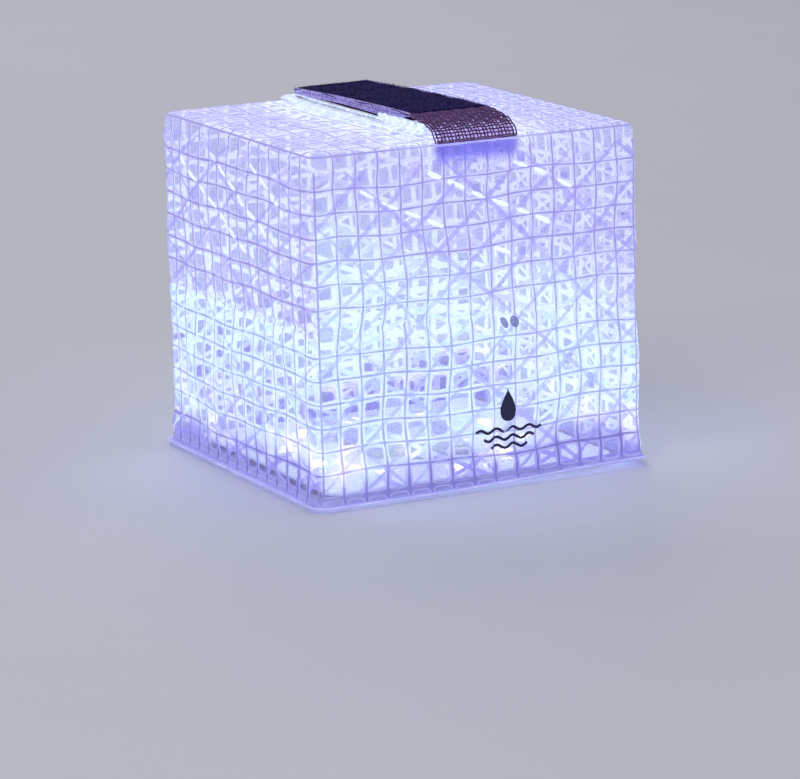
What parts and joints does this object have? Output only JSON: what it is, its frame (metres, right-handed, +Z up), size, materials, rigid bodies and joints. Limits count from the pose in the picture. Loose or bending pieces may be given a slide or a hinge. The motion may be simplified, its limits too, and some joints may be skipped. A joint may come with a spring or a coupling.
{
  "type": "floating pool light",
  "caption": "Collapsible film cube lantern with a solar panel and lights in its base, a hook-and-loop strap over the top, and walls that fold flat.",
  "frame": {"origin": "middle of the footprint, on the surface that the lantern stands on", "axes": "+Z up; the front wall faces -Y; the strap runs along Y; +X is to the right seen from the front"},
  "size_m": [0.114, 0.114, 0.1128],
  "materials": {
    "grid_film": "satin translucent laminated sailcloth with a grid of pale violet yarns",
    "clear_film": "gloss clear welded film",
    "solar_cell": "gloss dark blue cell strips",
    "laminate": "satin white laminate",
    "board": "satin white circuit board",
    "led": "gloss lit emitter",
    "battery": "satin foil pouch",
    "chip": "matte black moulding",
    "red_lead": "matte",
    "black_lead": "matte",
    "webbing": "matte navy brushed tape",
    "hook_tape": "matte reddish brown hook tape",
    "loop_tape": "matte pale loop pile",
    "weld_patch": "satin welded film patch",
    "button": "matte button cap"
  },
  "bodies": {
    "base": {"base_sheet": "clear_film", "base_band": "clear_film", "solar_cell_1": "solar_cell", "solar_cell_2": "solar_cell", "solar_cell_3": "solar_cell", "solar_cell_4": "solar_cell", "solar_cell_5": "solar_cell", "solar_cell_6": "solar_cell", "solar_laminate": "laminate", "led_board": "board", "led_1": "led", "led_2": "led", "led_3": "led", "led_4": "led", "led_5": "led", "led_6": "led", "led_7": "led", "led_8": "led", "led_9": "led", "led_10": "led", "battery_pouch": "battery", "battery_lead_red": "red_lead", "battery_lead_black": "black_lead", "charge_chip": "chip", "led_driver_chip": "chip", "boost_inductor": "chip", "input_capacitor": "laminate", "charge_lamp": "led", "tact_switch": "chip", "left_front_web_lower": "grid_film", "left_back_web_lower": "grid_film", "right_front_web_lower": "grid_film", "right_back_web_lower": "grid_film"},
    "back_lower": {"back_panel_lower": "grid_film"},
    "back_upper": {"back_panel_upper": "grid_film"},
    "top": {"top_band": "grid_film", "top_sheet": "grid_film", "strap_patch_front": "weld_patch", "strap_patch_back": "weld_patch", "left_front_web_upper": "grid_film", "left_back_web_upper": "grid_film", "right_front_web_upper": "grid_film", "right_back_web_upper": "grid_film"},
    "front_lower": {"front_panel_lower": "grid_film"},
    "front_upper": {"front_panel_upper": "grid_film"},
    "left_lower": {"left_gusset_lower": "grid_film"},
    "left_upper": {"left_gusset_upper": "grid_film"},
    "right_lower": {"right_gusset_lower": "grid_film"},
    "right_upper": {"right_gusset_upper": "grid_film"},
    "strap_front": {"strap_webbing_front": "webbing", "hook_tape": "hook_tape"},
    "strap_back": {"strap_webbing_back": "webbing", "loop_tape": "loop_tape"},
    "button": {"power_button": "button"}
  },
  "joints": [
    {"name": "fold", "type": "hinge", "parent": "base", "child": "back_lower", "pos_m": [0, 0.0536, 0.005], "axis": [1, 0, 0], "range_deg": [0, 86], "deforming": ["left_front_web_lower", "left_back_web_lower", "right_front_web_lower", "right_back_web_lower", "left_front_web_upper", "left_back_web_upper", "right_front_web_upper", "right_back_web_upper"]},
    {"name": "back_crease", "type": "hinge", "parent": "back_lower", "child": "back_upper", "pos_m": [0, 0.054, 0.053], "axis": [-1, 0, 0], "range_deg": [0, 172]},
    {"name": "back_top_fold", "type": "hinge", "parent": "back_upper", "child": "top", "pos_m": [0, 0.0536, 0.101], "axis": [1, 0, 0], "range_deg": [0, 86]},
    {"name": "front_base_fold", "type": "hinge", "parent": "base", "child": "front_lower", "pos_m": [0, -0.0536, 0.005], "axis": [-1, 0, 0], "range_deg": [0, 86]},
    {"name": "left_base_fold", "type": "hinge", "parent": "base", "child": "left_lower", "pos_m": [-0.0536, 0, 0.0045], "axis": [0, 1, 0], "range_deg": [0, 86]},
    {"name": "right_base_fold", "type": "hinge", "parent": "base", "child": "right_lower", "pos_m": [0.0536, 0, 0.0045], "axis": [0, -1, 0], "range_deg": [0, 86]},
    {"name": "front_top_fold", "type": "hinge", "parent": "top", "child": "front_upper", "pos_m": [0, -0.0536, 0.101], "axis": [1, 0, 0], "range_deg": [0, 86]},
    {"name": "left_top_fold", "type": "hinge", "parent": "top", "child": "left_upper", "pos_m": [-0.0536, 0, 0.1015], "axis": [0, -1, 0], "range_deg": [0, 86]},
    {"name": "right_top_fold", "type": "hinge", "parent": "top", "child": "right_upper", "pos_m": [0.0536, 0, 0.1015], "axis": [0, 1, 0], "range_deg": [0, 86]},
    {"name": "strap_open", "type": "hinge", "parent": "top", "child": "strap_front", "pos_m": [0, -0.0546, 0.1056], "axis": [1, 0, 0], "range_deg": [0, 105]},
    {"name": "strap_back_lift", "type": "hinge", "parent": "top", "child": "strap_back", "pos_m": [0, 0.0546, 0.1056], "axis": [-1, 0, 0], "range_deg": [0, 31.5]},
    {"name": "power_press", "type": "slide", "parent": "base", "child": "button", "axis": [0, 0, 1], "range_m": [0, 0.00025], "stiffness_N_per_m": 600}
  ],
  "couplings": [
    {"joint": "back_crease", "follows": "fold", "ratio": 2},
    {"joint": "back_top_fold", "follows": "fold", "ratio": 1},
    {"joint": "front_base_fold", "follows": "fold", "ratio": 1},
    {"joint": "left_base_fold", "follows": "fold", "ratio": 1},
    {"joint": "right_base_fold", "follows": "fold", "ratio": 1},
    {"joint": "front_top_fold", "follows": "fold", "ratio": 1},
    {"joint": "left_top_fold", "follows": "fold", "ratio": 1},
    {"joint": "right_top_fold", "follows": "fold", "ratio": 1},
    {"joint": "strap_back_lift", "follows": "strap_open", "ratio": 0.3}
  ]
}
